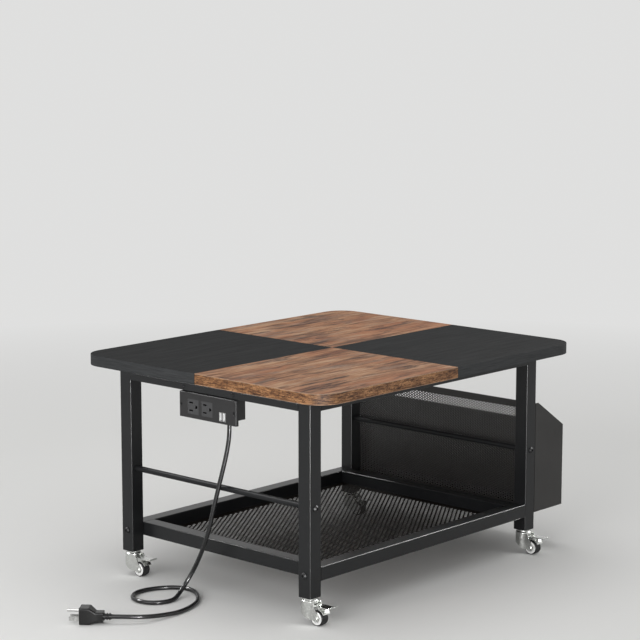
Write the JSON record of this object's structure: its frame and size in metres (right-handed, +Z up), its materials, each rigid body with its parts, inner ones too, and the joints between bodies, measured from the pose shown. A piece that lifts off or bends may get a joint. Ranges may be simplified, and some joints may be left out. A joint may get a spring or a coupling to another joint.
{
  "type": "mobile printer stand",
  "caption": "Low rectangular steel stand on braked swivel casters, with a four-board top, mesh tray, perforated file pocket on one side and a corded power strip under the other edge.",
  "frame": {"origin": "on the floor, under the centre of the stand's bounding box without its cord and plug", "axes": "+X along the long side, from the power strip to the file pocket; +Y from front to back (the casters' brake pedals point to the front at rest); +Z up"},
  "size_m": [0.8924, 0.557, 0.36],
  "materials": {
    "frame_black": "satin powder coat",
    "mesh_black": "satin powder coat",
    "board_brown": "printed rustic wood grain, matte",
    "board_black": "black woodgrain, matte",
    "pocket_charcoal": "satin powder coat",
    "bolt_black": "black oxide",
    "screw_zinc": "zinc plated",
    "caster_zinc": "bright zinc plate",
    "wheel_white": "semi-gloss",
    "tyre_black": "matte",
    "plug_plastic": "matte",
    "strip_black": "fine matte",
    "outlet_grey": "matte",
    "usb_steel": "bright",
    "contact_brass": "plain",
    "cord_black": "semi-gloss",
    "prong_nickel": "nickel plated"
  },
  "bodies": {
    "stand": {"leg_front_left": "frame_black", "leg_front_right": "frame_black", "leg_rear_left": "frame_black", "leg_rear_right": "frame_black", "leg_plugs": "plug_plastic", "top_rail_front": "frame_black", "top_rail_rear": "frame_black", "top_rail_left": "frame_black", "top_rail_right": "frame_black", "cross_rail": "frame_black", "side_bar_left": "frame_black", "side_bar_right": "frame_black", "side_bar_bolts": "bolt_black", "tray_rail_front": "frame_black", "tray_rail_rear": "frame_black", "tray_rail_left": "frame_black", "tray_rail_right": "frame_black", "tray_mesh": "mesh_black", "tray_bolts": "bolt_black", "board_front_left": "board_brown", "board_front_right": "board_black", "board_rear_left": "board_black", "board_rear_right": "board_brown", "board_screws": "screw_zinc", "pocket_inner_side": "pocket_charcoal", "pocket_outer_side": "pocket_charcoal", "pocket_ends": "pocket_charcoal", "machine_screws": "bolt_black", "strip_hangers": "frame_black", "strip_face": "strip_black", "strip_housing": "strip_black", "outlet_inserts": "outlet_grey", "contact_strips": "contact_brass", "usb_ports": "usb_steel", "face_screws": "bolt_black", "cord_bush": "cord_black", "power_cord": "cord_black", "plug_body": "cord_black", "plug_prongs": "prong_nickel", "caster_stems": "caster_zinc"},
    "caster_front_left": {"fork_front_left": "caster_zinc", "axle_front_left": "caster_zinc"},
    "wheel_front_left": {"wheel_hub_front_left": "wheel_white", "tyre_front_left": "tyre_black"},
    "brake_front_left": {"brake_pedal_front_left": "caster_zinc"},
    "caster_front_right": {"fork_front_right": "caster_zinc", "axle_front_right": "caster_zinc"},
    "wheel_front_right": {"wheel_hub_front_right": "wheel_white", "tyre_front_right": "tyre_black"},
    "brake_front_right": {"brake_pedal_front_right": "caster_zinc"},
    "caster_rear_left": {"fork_rear_left": "caster_zinc", "axle_rear_left": "caster_zinc"},
    "wheel_rear_left": {"wheel_hub_rear_left": "wheel_white", "tyre_rear_left": "tyre_black"},
    "brake_rear_left": {"brake_pedal_rear_left": "caster_zinc"},
    "caster_rear_right": {"fork_rear_right": "caster_zinc", "axle_rear_right": "caster_zinc"},
    "wheel_rear_right": {"wheel_hub_rear_right": "wheel_white", "tyre_rear_right": "tyre_black"},
    "brake_rear_right": {"brake_pedal_rear_right": "caster_zinc"}
  },
  "joints": [
    {"name": "swivel_front_left", "type": "hinge", "parent": "stand", "child": "caster_front_left", "pos_m": [-0.31085, -0.23, 0.036], "axis": [0, 0, 1], "continuous": true},
    {"name": "roll_front_left", "type": "hinge", "parent": "caster_front_left", "child": "wheel_front_left", "pos_m": [-0.31085, -0.25, 0.012], "axis": [1, 0, 0], "continuous": true},
    {"name": "brake_front_left", "type": "hinge", "parent": "caster_front_left", "child": "brake_front_left", "pos_m": [-0.31085, -0.243, 0.0285], "axis": [1, 0, 0], "range_deg": [0, 12]},
    {"name": "swivel_front_right", "type": "hinge", "parent": "stand", "child": "caster_front_right", "pos_m": [0.23315, -0.23, 0.036], "axis": [0, 0, 1], "continuous": true},
    {"name": "roll_front_right", "type": "hinge", "parent": "caster_front_right", "child": "wheel_front_right", "pos_m": [0.23315, -0.25, 0.012], "axis": [1, 0, 0], "continuous": true},
    {"name": "brake_front_right", "type": "hinge", "parent": "caster_front_right", "child": "brake_front_right", "pos_m": [0.23315, -0.243, 0.0285], "axis": [1, 0, 0], "range_deg": [0, 12]},
    {"name": "swivel_rear_left", "type": "hinge", "parent": "stand", "child": "caster_rear_left", "pos_m": [-0.31085, 0.168, 0.036], "axis": [0, 0, 1], "continuous": true},
    {"name": "roll_rear_left", "type": "hinge", "parent": "caster_rear_left", "child": "wheel_rear_left", "pos_m": [-0.31085, 0.148, 0.012], "axis": [1, 0, 0], "continuous": true},
    {"name": "brake_rear_left", "type": "hinge", "parent": "caster_rear_left", "child": "brake_rear_left", "pos_m": [-0.31085, 0.155, 0.0285], "axis": [1, 0, 0], "range_deg": [0, 12]},
    {"name": "swivel_rear_right", "type": "hinge", "parent": "stand", "child": "caster_rear_right", "pos_m": [0.23315, 0.168, 0.036], "axis": [0, 0, 1], "continuous": true},
    {"name": "roll_rear_right", "type": "hinge", "parent": "caster_rear_right", "child": "wheel_rear_right", "pos_m": [0.23315, 0.148, 0.012], "axis": [1, 0, 0], "continuous": true},
    {"name": "brake_rear_right", "type": "hinge", "parent": "caster_rear_right", "child": "brake_rear_right", "pos_m": [0.23315, 0.155, 0.0285], "axis": [1, 0, 0], "range_deg": [0, 12]}
  ]
}
